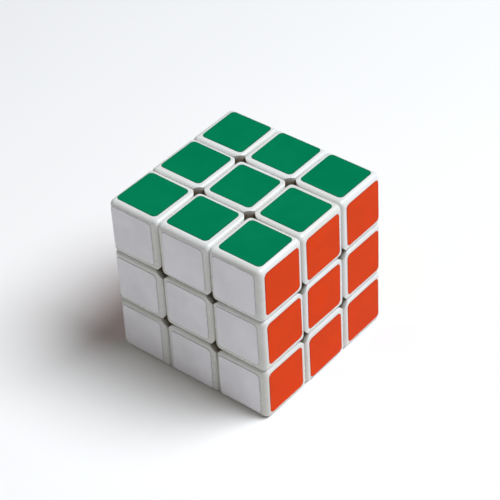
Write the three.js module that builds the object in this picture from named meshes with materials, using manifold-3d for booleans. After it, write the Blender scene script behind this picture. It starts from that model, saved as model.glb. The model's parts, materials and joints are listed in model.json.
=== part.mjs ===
import * as THREE from 'three';
import { mergeVertices } from 'three/addons/utils/BufferGeometryUtils.js';
import Module from 'manifold-3d';

const wasm = await Module();
wasm.setup();

// A 3 x 3 x 3 twisty puzzle cube on a six-armed core. All sizes are in millimetres.
// The cube stands on its down face with the origin under its middle: +Z up, +X right, -Y front.
const cubeSide = 57;
const clearance = 0.3; // running gap between neighbouring pieces
const innerCut = 6; // layers part here inside the track sphere
const trackRadius = 22; // sphere that the feet slide on
const coreSpaceRadius = 9.2; // room kept free for the core
const wall = 1.8; // moulded wall of a hollow cubelet

const half = cubeSide / 2;
const outerCut = cubeSide / 6; // layers part here outside the track sphere
const gap = clearance / 2; // each piece stands back half the clearance
const footRadius = trackRadius - gap;
const hollowRadius = trackRadius + clearance; // the flat facets of the hollow stand in from this

// Rounding of a cubelet's edges: where four pieces meet, along a seam, and round the outside.
const holeRounding = 3.8;
const seamRounding = 1;
const rimRounding = 1.8;

// Stations along each arm's axis, measured from the middle of the cube.
const armEnd = 8;
const floorBottom = armEnd + clearance;
const floorTop = floorBottom + 1.5;
const springHeight = 6.5;
const springBottom = floorTop + clearance;
const washerBottom = springBottom + springHeight + clearance;
const washerTop = washerBottom + 0.8;
const headBottom = washerTop + clearance;
const headTop = headBottom + 2.2;
const capBottom = 25.3;
const baseTop = capBottom - clearance;

const barrelRadius = innerCut - gap;
const barrelBore = 4.2;
const shankRadius = 1.25;
const shankHole = shankRadius + 0.35;
const tipStart = 2.6;
const tipLength = 1.6;
const headRadius = 3.1;
const washerRadius = 3.6;
const springRadius = 2.75; // middle of the wire
const wireRadius = 0.35;
const springTurns = 5;

const reach = 2 * cubeSide; // longer than anything that a cutting box has to pass

const directions = {
  up: new THREE.Vector3(0, 0, 1),
  down: new THREE.Vector3(0, 0, -1),
  front: new THREE.Vector3(0, -1, 0),
  back: new THREE.Vector3(0, 1, 0),
  left: new THREE.Vector3(-1, 0, 0),
  right: new THREE.Vector3(1, 0, 0),
};

function toSolid(geometry) {
  const bare = geometry.clone();
  bare.deleteAttribute('normal');
  bare.deleteAttribute('uv');
  const merged = mergeVertices(bare);
  const vertProperties = new Float32Array(merged.attributes.position.array);
  const triVerts = new Uint32Array(merged.index.array);
  return new wasm.Manifold(new wasm.Mesh({ numProp: 3, vertProperties, triVerts }));
}

function toGeometry(solid) {
  const mesh = solid.getMesh();
  const geometry = new THREE.BufferGeometry();
  geometry.setAttribute('position', new THREE.BufferAttribute(mesh.vertProperties, 3));
  geometry.setIndex(new THREE.BufferAttribute(mesh.triVerts, 1));
  geometry.computeVertexNormals();
  return geometry;
}

function box(low, high) {
  const [x, y, z] = high.map((value, axis) => value - low[axis]);
  const geometry = new THREE.BoxGeometry(x, y, z);
  geometry.translate(low[0] + x / 2, low[1] + y / 2, low[2] + z / 2);
  return toSolid(geometry);
}

function ball(radius) {
  return toSolid(new THREE.IcosahedronGeometry(radius, 3));
}

// A solid of revolution about Z. The profile is a list of [radius, height] pairs.
function turned(profile, sides) {
  const points = profile.map(([radius, height]) => new THREE.Vector2(radius, height));
  const geometry = new THREE.LatheGeometry(points, sides);
  geometry.rotateX(Math.PI / 2);
  return toSolid(geometry);
}

function rod(radius, low, high, sides) {
  return turned([[0, low], [radius, low], [radius, high], [0, high]], sides);
}

function ring(inner, outer, low, high, sides) {
  return turned([[inner, low], [outer, low], [outer, high], [inner, high], [inner, low]], sides);
}

function roundingAt(u, v) {
  const outside = [u, v].filter((value) => value === half).length;
  return [holeRounding, seamRounding, rimRounding][outside];
}

// A rectangle whose corners are rounded by how they face the outside of the cube.
function cubeletOutline([u0, v0], [u1, v1]) {
  const corners = [[u1, v1, 0], [u0, v1, 1], [u0, v0, 2], [u1, v0, 3]];
  const outline = new THREE.Shape();
  for (const [u, v, quarter] of corners) {
    const radius = roundingAt(u, v);
    const centreU = u === u1 ? u1 - radius : u0 + radius;
    const centreV = v === v1 ? v1 - radius : v0 + radius;
    const start = (quarter * Math.PI) / 2;
    outline.absarc(centreU, centreV, radius, start, start + Math.PI / 2);
  }
  outline.closePath();
  return outline;
}

// The outside of a cubelet: one rounded bar along each axis, and what all three share.
function cubelet(low, high) {
  const unit = [new THREE.Vector3(1, 0, 0), new THREE.Vector3(0, 1, 0), new THREE.Vector3(0, 0, 1)];
  const bars = [0, 1, 2].map((axis) => {
    const u = (axis + 1) % 3;
    const v = (axis + 2) % 3;
    const outline = cubeletOutline([low[u], low[v]], [high[u], high[v]]);
    const depth = high[axis] - low[axis];
    const bar = new THREE.ExtrudeGeometry(outline, { depth, bevelEnabled: false, curveSegments: 1 });
    bar.translate(0, 0, low[axis]);
    bar.applyMatrix4(new THREE.Matrix4().makeBasis(unit[u], unit[v], unit[axis]));
    return toSolid(bar);
  });
  return bars[0].intersect(bars[1]).intersect(bars[2]);
}

const outer = outerCut + gap; // where an edge or corner starts, outside the sphere
const middle = outerCut - gap; // half the width of a centre or an edge
const inner = innerCut + gap; // where a foot starts
const middleFoot = innerCut - gap; // half the width of an edge's foot

// Modelled between the back and up faces.
function edgePiece() {
  const outside = cubelet([-middle, outer, outer], [middle, half, half]);
  const shell = outside.subtract(ball(hollowRadius));
  const foot = box([-middleFoot, inner, inner], [middleFoot, half, half]).intersect(ball(footRadius));
  const neck = outside.intersect(box([-middleFoot, inner, inner], [middleFoot, half, half]));
  const hollow = box(
    [-middle + wall, outer + wall, outer + wall],
    [middle - wall, half - wall, half - wall],
  ).subtract(ball(footRadius));
  return shell.add(foot).add(neck).subtract(hollow).subtract(ball(coreSpaceRadius));
}

// Modelled where the right, back and up faces meet.
function cornerShell() {
  const outside = cubelet([outer, outer, outer], [half, half, half]);
  const low = outer + wall;
  const high = half - wall;
  return outside.subtract(ball(hollowRadius)).subtract(box([low, low, low], [high, high, high]));
}

function cornerFoot() {
  const plugStart = outer + wall + clearance;
  const plugRadius = hollowRadius + 2.5;
  const plug = box([plugStart, plugStart, plugStart], [half, half, half]).intersect(ball(plugRadius));
  const foot = box([inner, inner, inner], [half, half, half]).intersect(ball(footRadius));
  return foot.add(plug).subtract(ball(coreSpaceRadius));
}

// Modelled on the up face, as every part of a centre's stack is.
function centreBase() {
  const outside = cubelet([-middle, -middle, outer], [middle, middle, half]);
  const below = box([-reach, -reach, -reach], [reach, reach, baseTop]);
  const plate = outside.intersect(below).subtract(ball(hollowRadius));
  const barrel = rod(barrelRadius, floorBottom, baseTop, 20);
  const bore = rod(barrelBore, floorTop, reach, 16);
  return plate.add(barrel).subtract(bore).subtract(rod(shankHole, 0, reach, 12));
}

function centreCap() {
  const outside = cubelet([-middle, -middle, outer], [middle, middle, half]);
  const lid = outside.intersect(box([-reach, -reach, capBottom], [reach, reach, reach]));
  const side = middle - wall;
  const pocket = box([-side, -side, 0], [side, side, half - wall]);
  const plugDepth = 2;
  const plugOutside = barrelBore - clearance;
  const plug = ring(plugOutside - 1, plugOutside, baseTop - plugDepth, half - wall / 2, 16);
  return lid.subtract(pocket).add(plug);
}

function screw() {
  const dome = 0.7;
  const profile = [
    [0, tipStart],
    [shankRadius, tipStart + tipLength],
    [shankRadius, headBottom],
    [headRadius, headBottom],
    [headRadius, headTop - 2 * dome],
    [headRadius - dome / 2, headTop - dome / 2],
    [headRadius - 2 * dome, headTop],
    [0, headTop],
  ];
  const slotWidth = 0.7;
  const slotLength = 3;
  const slotBottom = headTop - 1.3;
  const slot = (x, y) => box([-x / 2, -y / 2, slotBottom], [x / 2, y / 2, reach]);
  return turned(profile, 12).subtract(slot(slotLength, slotWidth)).subtract(slot(slotWidth, slotLength));
}

class Helix extends THREE.Curve {
  getPoint(t, target = new THREE.Vector3()) {
    const angle = t * springTurns * 2 * Math.PI;
    const rise = springHeight - 2 * wireRadius;
    const height = springBottom + wireRadius + t * rise;
    return target.set(springRadius * Math.cos(angle), springRadius * Math.sin(angle), height);
  }
}

function spring() {
  const sides = 5;
  const stepsPerTurn = 9;
  const section = new THREE.Shape();
  for (let side = 0; side < sides; side += 1) {
    const angle = (side / sides) * 2 * Math.PI;
    const point = [wireRadius * Math.cos(angle), wireRadius * Math.sin(angle)];
    if (side === 0) {
      section.moveTo(...point);
    } else {
      section.lineTo(...point);
    }
  }
  section.closePath();
  const extrudePath = new Helix();
  return toSolid(new THREE.ExtrudeGeometry(section, { steps: springTurns * stepsPerTurn, extrudePath }));
}

// A chamfered hub with six arms, each drilled for its screw.
function core() {
  const hubHalf = 4.6;
  const armRadius = 3.3;
  const boreBottom = tipStart - 0.4;
  const corners = toSolid(new THREE.OctahedronGeometry(2.5 * hubHalf)); // takes off the hub's corners
  const hub = box([-hubHalf, -hubHalf, -hubHalf], [hubHalf, hubHalf, hubHalf]).intersect(corners);
  const lying = [[0, 0, 0], [90, 0, 0], [0, 90, 0]]; // degrees from Z to each pair of arms
  const arms = rod(armRadius, -armEnd, armEnd, 16);
  const bores = [rod(shankHole, boreBottom, reach, 12), rod(shankHole, -reach, -boreBottom, 12)];
  const whole = lying.reduce((solid, degrees) => solid.add(arms.rotate(degrees)), hub);
  return lying.reduce(
    (solid, degrees) => solid.subtract(bores[0].rotate(degrees)).subtract(bores[1].rotate(degrees)),
    whole,
  );
}

const finishes = {
  whitePlastic: { color: 0xeceef2, roughness: 0.3, metalness: 0 },
  corePlastic: { color: 0xc9c9c6, roughness: 0.5, metalness: 0 },
  screwSteel: { color: 0xa8a9ad, roughness: 0.35, metalness: 1 },
  springSteel: { color: 0xc2c3c7, roughness: 0.25, metalness: 1 },
};

const cube = new THREE.Group();
cube.position.z = half;

function addPiece(name, geometry, finish, rotation) {
  const mesh = new THREE.Mesh(geometry, new THREE.MeshStandardMaterial(finishes[finish]));
  mesh.name = name;
  mesh.quaternion.copy(rotation);
  cube.add(mesh);
}

// Turns a piece modelled between the back and up faces towards its own faces. A corner's
// third face has to come out on the right, so its first two trade places when it wouldn't.
function towards(faces) {
  const [first, second, third] = faces.map((face) => directions[face]);
  const across = new THREE.Vector3().crossVectors(second, first);
  const swapped = third !== undefined && across.dot(third) < 0;
  const basis = swapped
    ? new THREE.Matrix4().makeBasis(third, first, second)
    : new THREE.Matrix4().makeBasis(across, second, first);
  return new THREE.Quaternion().setFromRotationMatrix(basis);
}

addPiece('core', toGeometry(core()), 'corePlastic', new THREE.Quaternion());

const stack = {
  screw: [toGeometry(screw()), 'screwSteel'],
  washer: [toGeometry(ring(shankHole, washerRadius, washerBottom, washerTop, 12)), 'springSteel'],
  spring: [toGeometry(spring()), 'springSteel'],
  centre_base: [toGeometry(centreBase()), 'whitePlastic'],
  centre_cap: [toGeometry(centreCap()), 'whitePlastic'],
};
for (const face of Object.keys(directions)) {
  const rotation = new THREE.Quaternion().setFromUnitVectors(directions.up, directions[face]);
  for (const [piece, [geometry, finish]] of Object.entries(stack)) {
    addPiece(`${piece}_${face}`, geometry, finish, rotation);
  }
}

const edgeGeometry = toGeometry(edgePiece());
const shellGeometry = toGeometry(cornerShell());
const footGeometry = toGeometry(cornerFoot());
const levels = ['up', 'down'];
const fronts = ['front', 'back'];
const sides = ['left', 'right'];
for (const [firsts, seconds] of [[levels, fronts], [levels, sides], [fronts, sides]]) {
  for (const first of firsts) {
    for (const second of seconds) {
      addPiece(`edge_${first}_${second}`, edgeGeometry, 'whitePlastic', towards([first, second]));
    }
  }
}
for (const level of levels) {
  for (const front of fronts) {
    for (const side of sides) {
      const rotation = towards([level, front, side]);
      addPiece(`corner_shell_${level}_${front}_${side}`, shellGeometry, 'whitePlastic', rotation);
      addPiece(`corner_foot_${level}_${front}_${side}`, footGeometry, 'whitePlastic', rotation);
    }
  }
}

export default cube;
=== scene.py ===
import json
import math
import random

import bmesh
import bpy
from mathutils import Matrix, Vector

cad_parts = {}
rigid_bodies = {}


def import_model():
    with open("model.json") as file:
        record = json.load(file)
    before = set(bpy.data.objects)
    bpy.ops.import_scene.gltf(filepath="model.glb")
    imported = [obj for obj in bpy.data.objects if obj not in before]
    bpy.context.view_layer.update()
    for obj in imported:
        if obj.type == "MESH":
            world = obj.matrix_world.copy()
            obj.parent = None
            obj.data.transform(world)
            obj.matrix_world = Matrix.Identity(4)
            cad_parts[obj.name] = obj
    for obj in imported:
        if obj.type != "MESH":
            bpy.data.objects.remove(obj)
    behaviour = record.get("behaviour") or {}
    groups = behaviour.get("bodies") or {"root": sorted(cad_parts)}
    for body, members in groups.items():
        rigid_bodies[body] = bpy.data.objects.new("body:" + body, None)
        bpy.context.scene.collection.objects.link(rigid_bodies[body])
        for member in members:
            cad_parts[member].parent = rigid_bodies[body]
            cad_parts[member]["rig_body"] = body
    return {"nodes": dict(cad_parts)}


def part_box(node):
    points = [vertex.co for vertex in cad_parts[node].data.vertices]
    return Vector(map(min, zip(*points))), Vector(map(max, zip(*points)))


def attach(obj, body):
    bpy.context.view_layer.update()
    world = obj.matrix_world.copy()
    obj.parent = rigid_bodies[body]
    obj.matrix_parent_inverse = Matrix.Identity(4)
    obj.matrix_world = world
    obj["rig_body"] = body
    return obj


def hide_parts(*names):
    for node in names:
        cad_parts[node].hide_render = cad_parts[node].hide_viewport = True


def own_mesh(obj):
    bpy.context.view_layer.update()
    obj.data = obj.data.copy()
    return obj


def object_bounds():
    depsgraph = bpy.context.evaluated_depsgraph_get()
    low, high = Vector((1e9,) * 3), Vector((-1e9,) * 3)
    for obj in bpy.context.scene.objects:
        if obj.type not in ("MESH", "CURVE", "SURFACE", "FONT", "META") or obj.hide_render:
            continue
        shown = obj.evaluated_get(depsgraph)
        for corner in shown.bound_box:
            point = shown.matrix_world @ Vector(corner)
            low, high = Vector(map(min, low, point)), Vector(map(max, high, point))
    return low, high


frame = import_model()
cadLow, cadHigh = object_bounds()

metres = 0.001  # one millimetre; pieces are shaped in millimetres round the cube's middle
dice = random.Random(57)
scene = bpy.context.scene

side = (cadHigh.x - cadLow.x) / metres
half = side / 2
pitch = side / 3
edgeLow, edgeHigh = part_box("edge_up_front")
clearance = pitch - (edgeHigh.x - edgeLow.x) / metres
seam = 0.03  # gap that shows between two cubelets
middleHalf = pitch / 2 - seam / 2  # half the width of a centre or an edge
outerStart = pitch / 2 + seam / 2  # where the cubelets of an outside layer start
film = 0.12  # thickness of the sticker film, which makes up the full size
face = half - film

directions = {
    "up": Vector((0, 0, 1)),
    "down": Vector((0, 0, -1)),
    "front": Vector((0, -1, 0)),
    "back": Vector((0, 1, 0)),
    "left": Vector((-1, 0, 0)),
    "right": Vector((1, 0, 0)),
}
levels = ("up", "down")
fronts = ("front", "back")
sides = ("left", "right")


# shader maths

class Wire:
    def __init__(self, tree, socket=None):
        self.tree = tree
        self.socket = socket

    def add(self, kind, settings=None, inputs=None, output=0):
        made = self.tree.nodes.new(kind)
        for name, value in (settings or {}).items():
            setattr(made, name, value)
        for key, value in (inputs or {}).items():
            if isinstance(value, Wire):
                self.tree.links.new(value.socket, made.inputs[key])
            else:
                made.inputs[key].default_value = value
        return Wire(self.tree, made.outputs[output])

    def maths(self, operation, *values):
        return self.add("ShaderNodeMath", {"operation": operation}, dict(enumerate(values)))

    def __add__(self, other):
        return self.maths("ADD", self, other)

    def __radd__(self, other):
        return self.maths("ADD", other, self)

    def __sub__(self, other):
        return self.maths("SUBTRACT", self, other)

    def __rsub__(self, other):
        return self.maths("SUBTRACT", other, self)

    def __mul__(self, other):
        return self.maths("MULTIPLY", self, other)

    def __rmul__(self, other):
        return self.maths("MULTIPLY", other, self)

    def __abs__(self):
        return self.maths("ABSOLUTE", self)

    def noise(self, coordinates, scale, detail=3.0, roughness=0.5):
        inputs = {"Vector": coordinates, "Scale": scale, "Detail": detail, "Roughness": roughness}
        return self.add("ShaderNodeTexNoise", None, inputs)

    def step(self, value, low, high):  # 0 below low, 1 above high, smooth between them
        settings = {"interpolation_type": "SMOOTHSTEP"}
        inputs = {"Value": value, "From Min": low, "From Max": high}
        return self.add("ShaderNodeMapRange", settings, inputs)

    def mix(self, factor, first, second):
        settings = {"data_type": "RGBA"}
        return self.add("ShaderNodeMix", settings, {0: factor, 6: first, 7: second}, 2)

    def stretched(self, coordinates, scale, turn=(0, 0, 0)):
        inputs = {"Vector": coordinates, "Scale": scale, "Rotation": turn}
        return self.add("ShaderNodeMapping", None, inputs)


def newMaterial(name, constants):
    material = bpy.data.materials.new(name)
    material.use_nodes = True
    tree = material.node_tree
    shader = tree.nodes["Principled BSDF"]
    for socket, value in constants.items():
        shader.inputs[socket].default_value = value
    start = Wire(tree)
    coordinates = start.add("ShaderNodeTexCoord", output=3)
    return material, start, coordinates, shader


def connect(start, shader, colour, roughness, height, strength, distance):
    start.tree.links.new(colour.socket, shader.inputs["Base Color"])
    start.tree.links.new(roughness.socket, shader.inputs["Roughness"])
    inputs = {"Height": height, "Strength": strength, "Distance": distance}
    bump = start.add("ShaderNodeBump", None, inputs)
    start.tree.links.new(bump.socket, shader.inputs["Normal"])


def rgba(red, green, blue):
    return (red, green, blue, 1.0)


# materials

plasticLook = {
    "fresh": rgba(0.71, 0.71, 0.69),
    "aged": rgba(0.66, 0.655, 0.61),
    # colours of the hole walls: brown for dust and painted shade, then near black for deeper
    # painted shade
    "dustAndShade": rgba(0.30, 0.235, 0.155),
    "paintedHoleShade": rgba(0.075, 0.052, 0.03),
    "roughness": 0.24,
    "clean": 0.2,  # how far in from the outside the walls of a hole stay free of dust and painted shade
    "dustShadeFull": 2.0,  # where dust and painted shade are full on the walls of a hole
    "dark": 7.0,  # where the painted shade turns the holes dark
    "reach": 5.5,  # dust and painted shade reach this far in, and are gone at the end
    "end": 8.0,
    "near": 2.6,  # dust and painted shade are whole this near to where seams cross, and gone at away
    "away": 5.0,
    "smudge": 0.12,  # roughness that smudges, scratches and dust add
    "scratch": 0.12,
    "grit": 0.3,
}


def shellPlastic():
    look = plasticLook
    constants = {"IOR": 1.5, "Specular IOR Level": 0.4}
    material, start, place, shader = newMaterial("white plastic", constants)
    clouds = start.noise(place, 45, 4)
    smudges = start.noise(place, 210, 5, 0.65)
    grain = start.noise(place, 5200, 2)
    middle = {"Vector": place, "Location": (0, 0, -half * metres)}
    centred = start.add("ShaderNodeMapping", None, middle)
    lengths = start.add("ShaderNodeVectorMath", {"operation": "ABSOLUTE"}, {0: centred})
    splitAxes = start.add("ShaderNodeSeparateXYZ", None, {0: lengths})
    x = Wire(start.tree, splitAxes.socket.node.outputs[0])
    y = Wire(start.tree, splitAxes.socket.node.outputs[1])
    z = Wire(start.tree, splitAxes.socket.node.outputs[2])
    outermost = x.maths("MAXIMUM", x.maths("MAXIMUM", x, y), z)
    inward = (face * metres - outermost) * (1 / metres)
    # painted shade: the walls of the holes are darkened from the outside inward, brown with dust
    # and painted shade, then near black with painted shade
    reached = nearHole(x, y, z) * (1 - start.step(inward, look["reach"], look["end"]))
    depth = start.step(inward, look["clean"], look["dustShadeFull"]) * reached
    holeShadeMask = start.step(inward, look["dustShadeFull"], look["dark"]) * reached
    skin = start.mix(start.step(clouds, 0.35, 0.7), look["fresh"], look["aged"])
    dustedAndShaded = start.mix(depth * (0.75 + 0.35 * smudges), skin, look["dustAndShade"])
    colour = start.mix(holeShadeMask, dustedAndShaded, look["paintedHoleShade"])
    scratches = scratchMask(start, place, 0.72)
    worn = look["smudge"] * start.step(smudges, 0.45, 0.75) + look["scratch"] * scratches
    roughness = look["roughness"] + worn + look["grit"] * depth
    height = 0.35 * grain + 0.9 * clouds - 0.8 * scratches
    connect(start, shader, colour, roughness, height, 0.12, 0.0002)
    return material


def nearHole(x, y, z):  # 1 where seams cross, 0 away from there
    apart = [abs(value - pitch / 2 * metres) for value in (x, y, z)]
    least = x.maths("MINIMUM", apart[0], apart[1])
    most = x.maths("MAXIMUM", apart[0], apart[1])
    between = x.maths("MAXIMUM", least, x.maths("MINIMUM", most, apart[2]))
    return 1 - x.step(between, plasticLook["near"] * metres, plasticLook["away"] * metres)


def scratchMask(start, place, level):  # fine rubbed lines in two directions
    mask = None
    for turn in ((0.3, 0.7, 0.4), (1.1, 0.2, 1.3)):
        lines = start.noise(start.stretched(place, (1, 40, 40), turn), 260, 1)
        patches = start.step(start.noise(place, 130), 0.5, 0.62)
        rubbed = start.step(lines, level, level + 0.02) * patches
        mask = rubbed if mask is None else mask + rubbed
    return mask


stickerColours = {
    "up": ("green", rgba(0.0, 0.174, 0.072)),
    "front": ("white", rgba(0.85, 0.83, 0.865)),
    "right": ("orange", rgba(0.68, 0.045, 0.0)),
    "down": ("blue", rgba(0.006, 0.058, 0.36)),
    "back": ("yellow", rgba(0.86, 0.62, 0.012)),
    "left": ("red", rgba(0.52, 0.010, 0.013)),
}


vinylLook = {
    "faded": 1.05,  # brightness of rubbed and deeper film, and of the film's darkened edge (painted shade with some glue grime), against its colour
    "deeper": 0.95,
    "edgeShadeAndGrime": 0.6,
    "roughness": 0.36,
}


def stickerVinyl(colourName, colour):
    look = vinylLook
    constants = {"IOR": 1.25, "Specular IOR Level": 0.1}
    material, start, place, shader = newMaterial(colourName + " sticker film", constants)
    # rim marks the film's darkened edge: painted shade along the edge, with some glue grime
    rim = start.add("ShaderNodeAttribute", {"attribute_name": "rim"}, None, 2)
    clouds = start.noise(place, 95, 5, 0.6)
    peel = start.noise(place, 900, 2)
    weave = start.noise(place, 4200, 1)
    faded = [min(1.0, channel * look["faded"] + 0.001) for channel in colour[:3]]
    deeper = [channel * look["deeper"] for channel in colour[:3]]
    ink = start.mix(start.step(clouds, 0.3, 0.72), rgba(*deeper), rgba(*faded))
    # colour of the darkened edge: painted shade with some glue grime
    edgeShadeAndGrime = [channel * look["edgeShadeAndGrime"] + 0.01 for channel in colour[:3]]
    edge = rim * (0.75 + 0.25 * start.step(peel, 0.4, 0.6))
    tone = start.mix(edge, ink, rgba(*edgeShadeAndGrime))
    scratches = scratchMask(start, place, 0.7)
    worn = 0.14 * start.step(clouds, 0.4, 0.75) + 0.12 * scratches
    roughness = look["roughness"] + worn + 0.2 * rim
    height = 0.6 * peel + 0.2 * weave - 0.5 * scratches
    connect(start, shader, tone, roughness, height, 0.1, 0.00015)
    return material


innerLook = {
    "coreDark": rgba(0.56, 0.56, 0.55),
    "coreLight": rgba(0.66, 0.66, 0.64),
    # bright and dark tone, stretch of the marks, roughness
    "screw": (rgba(0.66, 0.66, 0.68), rgba(0.50, 0.50, 0.53), (1, 1, 8), 0.28),
    "spring": (rgba(0.72, 0.72, 0.74), rgba(0.55, 0.55, 0.57), (4, 4, 1), 0.18),
}


def corePlastic():
    look = innerLook
    material, start, place, shader = newMaterial("core plastic", {"IOR": 1.5})
    flow = start.noise(start.stretched(place, (1, 1, 6)), 260, 4)
    grain = start.noise(place, 6000, 2)
    colour = start.mix(start.step(flow, 0.3, 0.7), look["coreDark"], look["coreLight"])
    connect(start, shader, colour, 0.42 + 0.16 * flow, grain + flow, 0.2, 0.0002)
    return material


def steel(name, bright, dark, scale, base):  # drawn metal, with its marks stretched by scale
    material, start, place, shader = newMaterial(name, {"Metallic": 1.0})
    drawn = start.noise(start.stretched(place, scale), 900, 3)
    spots = start.noise(place, 1500, 3)
    colour = start.mix(start.step(drawn, 0.3, 0.7), bright, dark)
    roughness = base + 0.2 * drawn + 0.1 * start.step(spots, 0.55, 0.7)
    connect(start, shader, colour, roughness, drawn + 0.5 * spots, 0.25, 0.0001)
    return material


plastic = shellPlastic()
coreMaterial = corePlastic()
screwMaterial = steel("zinc screw", *innerLook["screw"])
springMaterial = steel("spring wire", *innerLook["spring"])
films = {name: stickerVinyl(*stickerColours[name]) for name in stickerColours}
print("materials ready:", len(bpy.data.materials))


# shaping in millimetres

cubeletLook = {
    "hole": 3.8,  # rounding of the edges that meet where four cubelets do
    "rim": 1.8,  # rounding of the cube's own outside edges
    "seam": 1.2,  # rounding along the lines between the stickers
    "lip": 0.2,  # small bevel round the mouth of a hole
    "holeSegments": 12,
    "rimSegments": 7,
    "seamSegments": 5,
}
mechanism = {
    "track": 22.0,  # radius of the ball that the feet slide on
    "inner": 6.0,  # where the layers part inside that ball
    "core": 9.2,  # radius kept free for the core
    "wall": 1.8,
    "footRounding": 0.8,
    "ballSegments": 64,
    "neckInset": 0.25,  # an edge's neck is this much slimmer than its foot and its cubelet
    "neckRise": 0.8,  # how far the neck reaches into the cubelet
    "hollowOverlap": 0.4,  # how far the hollow of an edge cuts into the foot's ball
    "capPlug": 3.9,  # outside radius of the ring under a cap
    "capPlugWall": 1.0,
    "capPlugDepth": 2.0,  # how far the ring goes down into the barrel
    "capPlugTop": 0.5,  # how far under the face it ends, inside the top of the cap
}
footRadius = mechanism["track"] - clearance / 2
hollowRadius = mechanism["track"] + clearance
footStart = mechanism["inner"] + clearance / 2
footHalf = mechanism["inner"] - clearance / 2


def boxShape(low, high):
    shape = bmesh.new()
    bmesh.ops.create_cube(shape, size=1)
    low, high = Vector(low), Vector(high)
    bmesh.ops.scale(shape, vec=high - low, verts=shape.verts)
    bmesh.ops.translate(shape, vec=(low + high) / 2, verts=shape.verts)
    return shape


def ballShape(radius):
    shape = bmesh.new()
    count = mechanism["ballSegments"]
    bmesh.ops.create_uvsphere(shape, u_segments=count, v_segments=count // 2, radius=radius)
    return shape


def sharpEdges(shape, angle=50):
    limit = math.radians(angle)
    return [edge for edge in shape.edges if edge.is_manifold and edge.calc_face_angle() > limit]


def roundOff(shape, edges, radius, segments):
    bmesh.ops.bevel(
        shape, geom=edges, offset=radius, segments=segments, affect="EDGES", profile=0.5,
        material=-1, clamp_overlap=False,
    )


def outsideFaces(edge):  # how many of the cube's outside faces an edge lies on
    first, second = (vertex.co for vertex in edge.verts)
    limit = face - 0.01
    return sum(abs(first[axis]) > limit and abs(second[axis]) > limit for axis in range(3))


def cubelet(low, high):  # rounded along its seams and rims, and cut to shape at the holes' mouths
    look = cubeletLook
    shape = boxShape(low, high)
    rims = [edge for edge in shape.edges if outsideFaces(edge) == 2]
    if rims:
        roundOff(shape, rims, look["rim"], look["rimSegments"])
    seams = [edge for edge in sharpEdges(shape) if nearOutside(edge)]
    roundOff(shape, seams, look["seam"], look["seamSegments"])
    past = [2 * (bound > 0.9 * face) for bound in high]  # how far the cutter passes the outside
    cutter = boxShape(low, Vector(high) + Vector(past))
    holes = [edge for edge in cutter.edges if isHole(edge)]
    roundOff(cutter, holes, look["hole"], look["holeSegments"])
    block = toObject(fromMesh(carved(shape, ("INTERSECT", cutter))), "block")
    bevel = block.modifiers.new("mouths", "BEVEL")
    bevel.limit_method = "ANGLE"
    bevel.angle_limit = math.radians(40)
    bevel.width = look["lip"]
    bevel.segments = 2
    return fromMesh(evaluated(block))


def isHole(edge):  # an edge that meets none of the outside faces along its length
    return all(
        not (abs(edge.verts[0].co[axis]) > 0.9 * face and abs(edge.verts[1].co[axis]) > 0.9 * face)
        for axis in range(3)
    )


def nearOutside(edge):
    start = face - cubeletLook["rim"] - 0.01
    return all(max(abs(value) for value in vertex.co) > start for vertex in edge.verts)


def toObject(shape, name):
    mesh = bpy.data.meshes.new(name)
    shape.to_mesh(mesh)
    shape.free()
    made = bpy.data.objects.new(name, mesh)
    scene.collection.objects.link(made)
    return made


def carved(shape, *steps):  # joins and cuts, one after another, as one mesh
    piece = toObject(shape, "blank")
    tools = []
    for operation, tool in steps:
        tools.append(toObject(tool, "tool"))
        modifier = piece.modifiers.new(operation, "BOOLEAN")
        modifier.operation = operation
        modifier.solver = "EXACT"
        modifier.object = tools[-1]
    mesh = evaluated(piece)
    for used in tools:
        bpy.data.objects.remove(used)
    return mesh


def evaluated(piece):  # the mesh that an object's modifiers make, without the object
    graph = bpy.context.evaluated_depsgraph_get()
    mesh = bpy.data.meshes.new_from_object(piece.evaluated_get(graph))
    bpy.data.objects.remove(piece)
    return mesh


def roundedBox(low, high):
    shape = boxShape(low, high)
    roundOff(shape, list(shape.edges), mechanism["footRounding"], 3)
    return shape


def spunShape(points, closed=False, segments=48):  # a full turn of an outline of radii and heights
    shape = bmesh.new()
    corners = [shape.verts.new((radius, 0, height)) for radius, height in points]
    edges = [shape.edges.new(pair) for pair in zip(corners, corners[1:])]
    if closed:
        edges.append(shape.edges.new((corners[-1], corners[0])))
    bmesh.ops.spin(
        shape, geom=corners + edges, cent=(0, 0, 0), axis=(0, 0, 1), angle=2 * math.pi,
        steps=segments, use_merge=True,
    )
    bmesh.ops.remove_doubles(shape, verts=shape.verts, dist=1e-4)
    bmesh.ops.recalc_face_normals(shape, faces=shape.faces)
    return shape


def ringShape(inner, outer, low, high):
    return spunShape([(inner, low), (outer, low), (outer, high), (inner, high)], closed=True)


def rodShape(radius, low, high, segments=48):
    shape = bmesh.new()
    bmesh.ops.create_cone(
        shape, cap_ends=True, segments=segments, radius1=radius, radius2=radius, depth=high - low
    )
    bmesh.ops.translate(shape, vec=(0, 0, (low + high) / 2), verts=shape.verts)
    return shape


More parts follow.
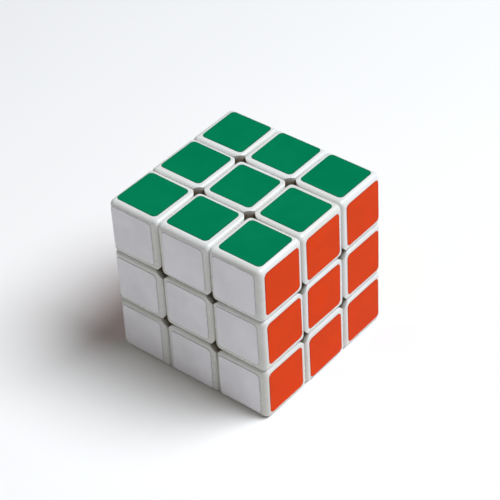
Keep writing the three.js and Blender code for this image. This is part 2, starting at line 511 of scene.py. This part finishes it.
def edgeMesh():  # shaped between the back and up faces
    wall = mechanism["wall"]
    low = [-middleHalf + wall, outerStart + wall, outerStart + wall]
    high = [middleHalf - wall, face - wall, face - wall]
    kept = ballShape(footRadius - mechanism["hollowOverlap"])
    hollow = carved(boxShape(low, high), ("DIFFERENCE", kept))
    foot = carved(
        roundedBox([-footHalf, footStart, footStart], [footHalf, half, half]),
        ("INTERSECT", ballShape(footRadius)),
    )
    neckStart = outerStart + mechanism["neckInset"]
    neckHalf = footHalf - mechanism["neckInset"]
    neck = carved(
        boxShape([-neckHalf, neckStart, neckStart], [neckHalf, half, half]),
        ("INTERSECT", ballShape(hollowRadius + mechanism["neckRise"])),
    )
    return carved(
        cubelet([-middleHalf, outerStart, outerStart], [middleHalf, face, face]),
        ("DIFFERENCE", ballShape(hollowRadius)),
        ("UNION", fromMesh(neck)),
        ("UNION", fromMesh(foot)),
        ("DIFFERENCE", fromMesh(hollow)),
        ("DIFFERENCE", ballShape(mechanism["core"])),
    )


def fromMesh(mesh):
    shape = bmesh.new()
    shape.from_mesh(mesh)
    bpy.data.meshes.remove(mesh)
    return shape


def bmeshToMesh(shape):
    mesh = bpy.data.meshes.new("blank")
    shape.to_mesh(mesh)
    shape.free()
    return mesh


def cornerShellMesh():  # shaped where the right, back and up faces meet
    low = outerStart + mechanism["wall"]
    high = face - mechanism["wall"]
    return carved(
        cubelet([outerStart] * 3, [face] * 3),
        ("DIFFERENCE", ballShape(hollowRadius)),
        ("DIFFERENCE", boxShape([low] * 3, [high] * 3)),
    )


def centreCapMesh():  # shaped on the up face
    look = mechanism
    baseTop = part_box("centre_base_up")[1].z / metres - half
    capBottom = baseTop + clearance
    pocket = middleHalf - look["wall"]
    plug = look["capPlug"]
    plugLow, plugHigh = baseTop - look["capPlugDepth"], face - look["capPlugTop"]
    return carved(
        cubelet([-middleHalf, -middleHalf, outerStart], [middleHalf, middleHalf, face]),
        ("INTERSECT", boxShape([-side, -side, capBottom], [side, side, side])),
        ("DIFFERENCE", boxShape([-pocket, -pocket, 0], [pocket, pocket, face - look["wall"]])),
        ("UNION", ringShape(plug - look["capPlugWall"], plug, plugLow, plugHigh)),
    )


# placing

def facesOf(cell):  # face names of a cubelet, in the order level, front, side
    return [name for name in (*levels, *fronts, *sides) if directions[name].dot(cell) > 0]


def turnTo(names):  # from the back and up faces to a piece's own faces
    up = directions[names[0]]
    if len(names) == 1:
        return Vector((0, 0, 1)).rotation_difference(up).to_matrix()
    back = directions[names[1]]
    across = back.cross(up)
    if len(names) == 3 and across.dot(directions[names[2]]) < 0:
        across, back, up = directions[names[2]], up, back
    return Matrix((across, back, up)).transposed()


def place(mesh, turn):
    matrix = Matrix.Translation((0, 0, half * metres)) @ turn.to_4x4() @ Matrix.Scale(metres, 4)
    mesh.transform(matrix)
    mesh.update()


def finishPiece(mesh, name, body, material, slot, replaced=(), sharp=40):
    mesh.materials.clear()
    mesh.materials.append(material)
    mesh.shade_smooth()
    mesh.set_sharp_from_angle(angle=math.radians(sharp))
    piece = bpy.data.objects.new(name, mesh)
    scene.collection.objects.link(piece)
    weighted = piece.modifiers.new("normals", "WEIGHTED_NORMAL")
    weighted.keep_sharp = True
    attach(piece, body)
    if replaced:
        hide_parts(*replaced)
    return piece


def copies(source, jobs, material=None, slot="white_plastic", sharp=40):
    shape = fromMesh(source)
    bmesh.ops.remove_doubles(shape, verts=shape.verts, dist=0.003)
    bmesh.ops.dissolve_degenerate(shape, edges=shape.edges, dist=0.003)
    source = bmeshToMesh(shape)
    made = []
    for names, name, node in jobs:
        mesh = source.copy()
        place(mesh, turnTo(names))
        body = frame["nodes"][node]["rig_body"]
        made.append(finishPiece(mesh, name, body, material or plastic, slot, [node], sharp))
    bpy.data.meshes.remove(source)
    return made


def bodyOf(names):
    if len(names) == 1:
        return names[0] + "_centre"
    return ("edge_" if len(names) == 2 else "corner_") + "_".join(names)


cells = [Vector((x, y, z)) for x in (-1, 0, 1) for y in (-1, 0, 1) for z in (-1, 0, 1)]
cubelets = [facesOf(cell) for cell in cells if cell.length > 0]
centres = [names for names in cubelets if len(names) == 1]
edges = [names for names in cubelets if len(names) == 2]
corners = [names for names in cubelets if len(names) == 3]


def nodeJobs(group, prefix):
    joined = ["_".join(names) for names in group]
    return [
        (names, prefix + "_shape_" + word, prefix + "_" + word)
        for names, word in zip(group, joined)
    ]


copies(edgeMesh(), nodeJobs(edges, "edge"))
print("edges placed:", len(edges))
copies(cornerShellMesh(), nodeJobs(corners, "corner_shell"))
print("corner shells placed:", len(corners))
copies(centreCapMesh(), nodeJobs(centres, "centre_cap"))
print("centre caps placed:", len(centres))


# stickers

stickerLook = {
    "width": 15.35,
    "corner": 1.4,
    "flange": 0.08,  # glue that shows round the film
    "flangeHeight": 0.03,
    "edge": 0.03,
    "fade": 0.3,  # how far in the darkened rim reaches
    "lowLeftEdgeShare": 0.15,  # share of the edge darkening on the other two sides
    "offCentre": 0.3,
    # how far all the stickers of a face are stuck off centre
    "lean": {"front": (-0.4, 0.0), "right": (0.2, 0.0), "up": (0.0, 0.2)},
    "twist": 0.8,  # degrees
}


def darkEdgeShare(spot):  # the edge darkening, painted shade with some glue grime, is strongest along the top and right of a sticker
    look = stickerLook
    leaning = max(spot.x, spot.y) / look["width"] * 2
    return look["lowLeftEdgeShare"] + (1 - look["lowLeftEdgeShare"]) * min(1, max(0, 3 * leaning - 2))


def stickerShape():
    look = stickerLook
    reach = look["width"] / 2 + look["flange"]
    shape = boxShape([-reach, -reach, 0], [reach, reach, look["flangeHeight"]])
    upright = [edge for edge in shape.edges if abs(edge.verts[0].co.z - edge.verts[1].co.z) > 0.01]
    roundOff(shape, upright, look["corner"] + look["flange"], 8)
    rim = shape.verts.layers.float.new("rim")
    top = max(shape.faces, key=lambda one: one.calc_center_median().z)
    bmesh.ops.inset_region(shape, faces=[top], thickness=look["flange"], use_even_offset=True)
    rise = film - look["flangeHeight"]
    raised = bmesh.ops.extrude_discrete_faces(shape, faces=[top])["faces"]
    bmesh.ops.translate(shape, vec=(0, 0, rise), verts=raised[0].verts)
    roundOff(shape, list(raised[0].edges), look["edge"], 2)
    for vertex in shape.verts:
        vertex[rim] = darkEdgeShare(vertex.co) * (0.7 if vertex.co.z > film - 0.02 else 1)
    top = max(shape.faces, key=lambda one: one.calc_center_median().z)
    bmesh.ops.inset_region(shape, faces=[top], thickness=look["fade"], use_even_offset=True)
    for vertex in top.verts:
        vertex[rim] = 0.0
    return shape


def stickerTurn(faceName):
    up = directions[faceName]
    across = directions["right"] if abs(up.x) < 0.5 else directions["back"]
    return Matrix((across, up.cross(across), up)).transposed()


def addStickers(faceName):
    turn = stickerTurn(faceName)
    blank = toObject(stickerShape(), "blank sticker")
    colourName = stickerColours[faceName][0]
    for column in (-1, 0, 1):
        for row in (-1, 0, 1):
            spot = turn @ Vector((column, row, 1))
            names = facesOf(spot)
            away = stickerLook["offCentre"]
            lean = stickerLook["lean"].get(faceName, (0.0, 0.0))
            shift = Vector((
                column * pitch + lean[0] + dice.uniform(-away, away),
                row * pitch + lean[1] + dice.uniform(-away, away),
                face,
            ))
            twist = math.radians(dice.uniform(-stickerLook["twist"], stickerLook["twist"]))
            mesh = blank.data.copy()
            mesh.transform(Matrix.Translation(shift) @ Matrix.Rotation(twist, 4, "Z"))
            place(mesh, turn)
            name = "sticker_" + faceName + "_on_" + "_".join(names)
            finishPiece(mesh, name, bodyOf(names), films[faceName], "sticker_" + colourName, (), 60)
    bpy.data.objects.remove(blank)


for faceName in directions:
    addStickers(faceName)
print("stickers placed:", 9 * len(directions))


# the pieces inside

insideLook = {
    "shank": 1.25,
    "thread": 0.25,  # how far the thread stands out from the shank
    "threadPitch": 1.0,
    "threadFoot": 0.12,  # how far the thread is sunk in the shank
    "threadFlank": 0.3,
    "tip": 1.6,
    "smooth": 3.0,  # shank without a thread under the head
    "dome": 1.1,  # rounding of the head
    "recess": (3.0, 0.7, 1.3),  # length, width and depth of the cross in the head
    "hole": 1.6,  # bores that the screw passes through
    "bore": 4.2,
    "barrel": 5.85,
    "wire": 0.35,
    "turns": 5,
    "endPitch": 0.8,  # rise of the spring's first and last turn
    "hub": 4.6,
    "hubRounding": 1.4,
    "arm": 3.3,
    "drilled": 2.2,  # where the core's bores start
    "plug": 24.8,  # how far a corner's plug reaches into its shell
}


def span(node):  # bottom, top and radius of a piece stacked on the up face, from the cube's middle
    low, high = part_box(node)
    return low.z / metres - half, high.z / metres - half, high.x / metres


def wound(shape, stretches, stepsPerTurn=40):  # winds a face upward in stretches of turns and pitch
    ends = shape.verts[:] + shape.edges[:] + shape.faces[:]
    for turns, pitch in stretches:
        steps = round(turns * stepsPerTurn)
        rise = (0, 0, turns * pitch / steps)
        made = bmesh.ops.spin(
            shape, geom=ends, cent=(0, 0, 0), axis=(0, 0, 1), dvec=rise,
            angle=2 * math.pi * turns, steps=steps,
        )
        ends = made["geom_last"]
    bmesh.ops.recalc_face_normals(shape, faces=shape.faces)
    return shape


def threadShape(low, high):
    look = insideLook
    root, crest = look["shank"] - look["threadFoot"], look["shank"] + look["thread"]
    flank = look["threadFlank"]
    shape = bmesh.new()
    shape.faces.new([
        shape.verts.new((root, 0, low)),
        shape.verts.new((crest, 0, low + flank)),
        shape.verts.new((root, 0, low + 2 * flank)),
    ])
    turns = (high - low) / look["threadPitch"]
    return wound(shape, [(turns, look["threadPitch"])], 32)


def screwMesh():
    look = insideLook
    bottom, top, headRadius = span("screw_up")
    headBottom = span("washer_up")[1] + clearance
    shank = look["shank"]
    outline = [
        (0, bottom), (0.3 * shank, bottom), (shank, bottom + look["tip"]), (shank, headBottom),
        (headRadius, headBottom), (headRadius, top), (0, top),
    ]
    body = spunShape(outline)
    brim = {
        vertex for vertex in body.verts
        if vertex.co.z > top - 0.01 and vertex.co.xy.length > headRadius - 0.01
    }
    roundOff(body, [edge for edge in body.edges if brim.issuperset(edge.verts)], look["dome"], 6)
    length, width, depth = look["recess"]
    first = boxShape([-length / 2, -width / 2, top - depth], [length / 2, width / 2, side])
    second = boxShape([-width / 2, -length / 2, top - depth], [width / 2, length / 2, side])
    thread = threadShape(bottom + look["tip"], headBottom - look["smooth"])
    return carved(body, ("UNION", thread), ("DIFFERENCE", first), ("DIFFERENCE", second))


def washerMesh():
    bottom, top, radius = span("washer_up")
    shape = ringShape(insideLook["hole"], radius, bottom, top)
    roundOff(shape, sharpEdges(shape), 0.12, 2)
    return bmeshToMesh(shape)


def springMesh():
    look = insideLook
    bottom, top, outside = span("spring_up")
    wire = look["wire"]
    shape = bmesh.new()
    bmesh.ops.create_circle(shape, cap_ends=True, segments=10, radius=wire)
    upright = Matrix.Rotation(math.pi / 2, 3, "X")
    bmesh.ops.rotate(shape, verts=shape.verts, cent=(0, 0, 0), matrix=upright)
    bmesh.ops.translate(shape, verts=shape.verts, vec=(outside - wire, 0, bottom + wire))
    ending = look["endPitch"]
    openTurns = look["turns"] - 2
    openPitch = (top - bottom - 2 * wire - 2 * ending) / openTurns
    return bmeshToMesh(wound(shape, [(1, ending), (openTurns, openPitch), (1, ending)]))


def centreBaseMesh():
    look = insideLook
    bottom, top = span("centre_base_up")[:2]
    floorTop = span("spring_up")[0] - clearance
    return carved(
        cubelet([-middleHalf, -middleHalf, outerStart], [middleHalf, middleHalf, face]),
        ("INTERSECT", boxShape([-side, -side, -side], [side, side, top])),
        ("DIFFERENCE", ballShape(hollowRadius)),
        ("UNION", rodShape(look["barrel"], bottom, top)),
        ("DIFFERENCE", rodShape(look["bore"], floorTop, side)),
        ("DIFFERENCE", rodShape(look["hole"], 0, side)),
    )


def cornerFootMesh():  # shaped where the right, back and up faces meet
    plugStart = outerStart + mechanism["wall"] + clearance
    plugBall = ballShape(insideLook["plug"])
    plug = carved(boxShape([plugStart] * 3, [half] * 3), ("INTERSECT", plugBall))
    return carved(
        roundedBox([footStart] * 3, [half] * 3),
        ("INTERSECT", ballShape(footRadius)),
        ("UNION", fromMesh(plug)),
        ("DIFFERENCE", ballShape(mechanism["core"])),
    )


def turnedShape(shape, faceName):
    bmesh.ops.transform(shape, matrix=turnTo([faceName]).to_4x4(), verts=shape.verts)
    return shape


def coreMesh():
    look = insideLook
    armEnd = span("core")[1]
    hub = boxShape([-look["hub"]] * 3, [look["hub"]] * 3)
    roundOff(hub, list(hub.edges), look["hubRounding"], 4)
    arms = [
        ("UNION", turnedShape(rodShape(look["arm"], -armEnd, armEnd), name))
        for name in ("up", "back", "right")
    ]
    bores = [
        ("DIFFERENCE", turnedShape(rodShape(look["hole"], look["drilled"], side), name))
        for name in directions
    ]
    return carved(hub, *arms, *bores)


stacks = [[name] for name in directions]
copies(centreBaseMesh(), nodeJobs(stacks, "centre_base"))
copies(cornerFootMesh(), nodeJobs(corners, "corner_foot"))
copies(screwMesh(), nodeJobs(stacks, "screw"), screwMaterial, "screw_steel", 30)
copies(washerMesh(), nodeJobs(stacks, "washer"), springMaterial, "spring_steel")
springs = copies(springMesh(), nodeJobs(stacks, "spring"), springMaterial, "spring_steel")
copies(coreMesh(), [(["up"], "core_shape", "core")], coreMaterial, "core_plastic")
travel = 1.0  # how far a centre floats outward, pressing its spring together; worked out here, but the springs are not pressed
springBottom, springTop = span("spring_up")[:2]
pressed = 1 - travel / (springTop - springBottom)
for name, piece in zip(directions, springs):
    anchor = directions[name] * springTop * metres + Vector((0, 0, half * metres))
    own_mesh(piece)
print("inner pieces placed:", 4 * len(stacks) + len(corners) + 1)


# camera, floor and light

cameraLook = {
    "aim": (-0.00404, 0.00526, 0.02701),
    "azimuth": 41.15,
    "elevation": 39.67,
    "distance": 0.580,
    "roll": -3.44,
    "lens": 137.2,
}


def addCamera():
    look = cameraLook
    azimuth, elevation = math.radians(look["azimuth"]), math.radians(look["elevation"])
    back = Vector((
        math.sin(azimuth) * math.cos(elevation),
        -math.cos(azimuth) * math.cos(elevation),
        math.sin(elevation),
    ))
    data = bpy.data.cameras.new("camera")
    data.lens = look["lens"]
    data.sensor_width = 36
    data.clip_start, data.clip_end = 0.01, 20
    camera = bpy.data.objects.new("camera", data)
    scene.collection.objects.link(camera)
    camera.location = Vector(look["aim"]) + back * look["distance"]
    level = (-back).to_track_quat("-Z", "Y").to_matrix()
    roll = Matrix.Rotation(math.radians(look["roll"]), 3, "Z")
    camera.rotation_euler = (level @ roll).to_euler()
    scene.camera = camera


floorLook = {"light": rgba(0.91, 0.895, 0.875), "shade": rgba(0.88, 0.865, 0.845), "roughness": 0.7}


def addFloor():
    shape = bmesh.new()
    bmesh.ops.create_grid(shape, x_segments=1, y_segments=1, size=4)
    floor = toObject(shape, "floor")
    constants = {"Roughness": floorLook["roughness"]}
    material, start, place, shader = newMaterial("pale floor", constants)
    clouds = start.noise(place, 3)
    colour = start.mix(clouds, floorLook["shade"], floorLook["light"])
    start.tree.links.new(colour.socket, shader.inputs["Base Color"])
    floor.data.materials.append(material)


lightLook = {
    "key": {"towards": (0.42, 0.30, 0.85), "distance": 1.5, "size": 1.0, "power": 30,
            "colour": (0.905, 0.945, 1.0)},
    "fill": {"towards": (-0.28, -0.60, 0.75), "distance": 0.42, "size": 0.4, "power": 0.26,
             "colour": (1.0, 0.98, 0.93)},
    "world": 0.06,
    "worldColour": rgba(0.96, 0.98, 1.0),
}


def addLight(name):
    look = lightLook[name]
    data = bpy.data.lights.new(name, "AREA")
    data.shape = "DISK"
    data.size = look["size"]
    data.energy = look["power"]
    data.color = look["colour"]
    lamp = bpy.data.objects.new(name, data)
    scene.collection.objects.link(lamp)
    towards = Vector(look["towards"]).normalized()
    lamp.location = towards * look["distance"]
    lamp.rotation_euler = (-towards).to_track_quat("-Z", "Y").to_euler()


addCamera()
addFloor()
addLight("key")
addLight("fill")
world = bpy.data.worlds.new("studio")
world.use_nodes = True
background = world.node_tree.nodes["Background"]
background.inputs["Color"].default_value = lightLook["worldColour"]
background.inputs["Strength"].default_value = lightLook["world"]
scene.world = world
scene.view_settings.view_transform = "Standard"
print("stage set")
